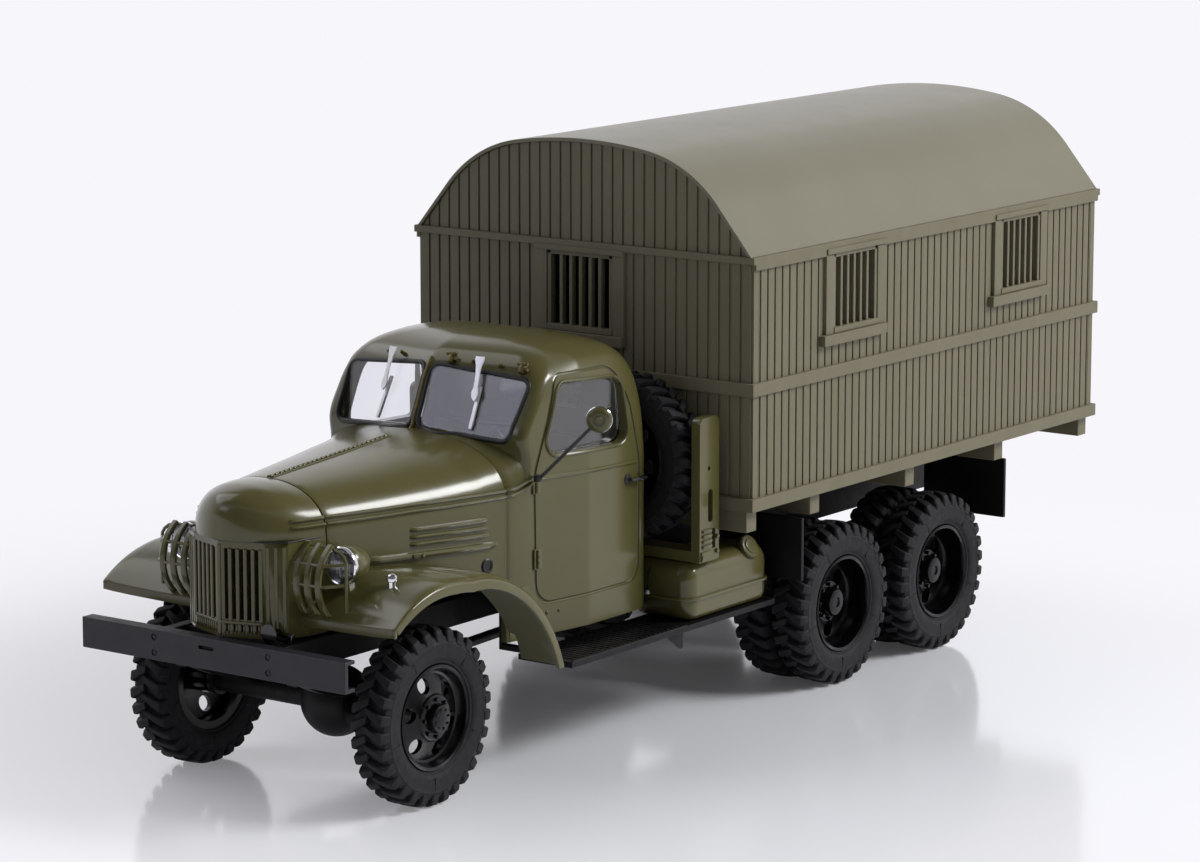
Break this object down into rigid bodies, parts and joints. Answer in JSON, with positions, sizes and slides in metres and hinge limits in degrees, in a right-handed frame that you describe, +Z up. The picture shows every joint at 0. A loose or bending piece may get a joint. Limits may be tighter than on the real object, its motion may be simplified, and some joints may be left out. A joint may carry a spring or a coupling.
{
  "type": "scale model six-wheel-drive van-body army truck",
  "caption": "Small scale model of a bonneted six-wheel-drive army truck with a boarded, arched-roof van body, barred windows, spare wheels and rolling wheels.",
  "frame": {"origin": "middle of the footprint of the whole model, on the ground under the tyres", "axes": "+X to the truck's left, +Y to its back, +Z up; the bonnet points towards -Y"},
  "size_m": [0.059, 0.1706, 0.0779],
  "materials": {
    "chassis_black": "satin black moulded plastic",
    "bumper_grey": "satin charcoal moulded plastic",
    "cab_olive": "gloss olive paint on die-cast metal",
    "van_olive": "satin grey-olive moulded plastic",
    "clear_pane": "clear moulded pane",
    "bright_trim": "bright plated trim",
    "tyre_black": "soft black rubber",
    "wheel_black": "satin black moulded plastic"
  },
  "bodies": {
    "truck": {"frame_rails": "chassis_black", "crossmembers": "chassis_black", "bumper": "bumper_grey", "front_axle": "chassis_black", "rear_axles": "chassis_black", "leaf_springs": "chassis_black", "drivetrain": "chassis_black", "exhaust": "chassis_black", "running_boards": "chassis_black", "fuel_tanks": "cab_olive", "spare_carrier": "cab_olive", "spare_tyres": "tyre_black", "spare_rims": "wheel_black", "mud_flaps": "chassis_black", "radiator": "chassis_black", "horn": "chassis_black", "cab_shell": "cab_olive", "cab_glass": "clear_pane", "seat_bench": "chassis_black", "dashboard": "chassis_black", "bonnet": "cab_olive", "bonnet_nose": "cab_olive", "grille": "cab_olive", "fenders": "cab_olive", "headlamps": "cab_olive", "headlamp_lenses": "clear_pane", "lamp_guards": "cab_olive", "marker_lamps": "bright_trim", "wipers": "bright_trim", "side_mirror": "cab_olive", "van_floor": "van_olive", "van_bearers": "van_olive", "van_wall_front": "van_olive", "van_wall_left": "van_olive", "van_wall_right": "van_olive", "van_wall_rear": "van_olive", "van_roof": "van_olive", "van_door": "van_olive", "van_panes": "clear_pane", "window_bars": "van_olive"},
    "wheel_front_left": {"tyre_front_left": "tyre_black", "rim_front_left": "wheel_black"},
    "wheel_front_right": {"tyre_front_right": "tyre_black", "rim_front_right": "wheel_black"},
    "wheel_mid_left": {"tyres_mid_left": "tyre_black", "rims_mid_left": "wheel_black"},
    "wheel_mid_right": {"tyres_mid_right": "tyre_black", "rims_mid_right": "wheel_black"},
    "wheel_rear_left": {"tyres_rear_left": "tyre_black", "rims_rear_left": "wheel_black"},
    "wheel_rear_right": {"tyres_rear_right": "tyre_black", "rims_rear_right": "wheel_black"}
  },
  "joints": [
    {"name": "wheel_front_left_turn", "type": "hinge", "parent": "truck", "child": "wheel_front_left", "pos_m": [0, -0.06635, 0.0115], "axis": [1, 0, 0], "continuous": true},
    {"name": "wheel_front_right_turn", "type": "hinge", "parent": "truck", "child": "wheel_front_right", "pos_m": [0, -0.06635, 0.0115], "axis": [1, 0, 0], "continuous": true},
    {"name": "wheel_mid_left_turn", "type": "hinge", "parent": "truck", "child": "wheel_mid_left", "pos_m": [0, 0.01885, 0.0115], "axis": [1, 0, 0], "continuous": true},
    {"name": "wheel_mid_right_turn", "type": "hinge", "parent": "truck", "child": "wheel_mid_right", "pos_m": [0, 0.01885, 0.0115], "axis": [1, 0, 0], "continuous": true},
    {"name": "wheel_rear_left_turn", "type": "hinge", "parent": "truck", "child": "wheel_rear_left", "pos_m": [0, 0.04515, 0.0115], "axis": [1, 0, 0], "continuous": true},
    {"name": "wheel_rear_right_turn", "type": "hinge", "parent": "truck", "child": "wheel_rear_right", "pos_m": [0, 0.04515, 0.0115], "axis": [1, 0, 0], "continuous": true}
  ]
}
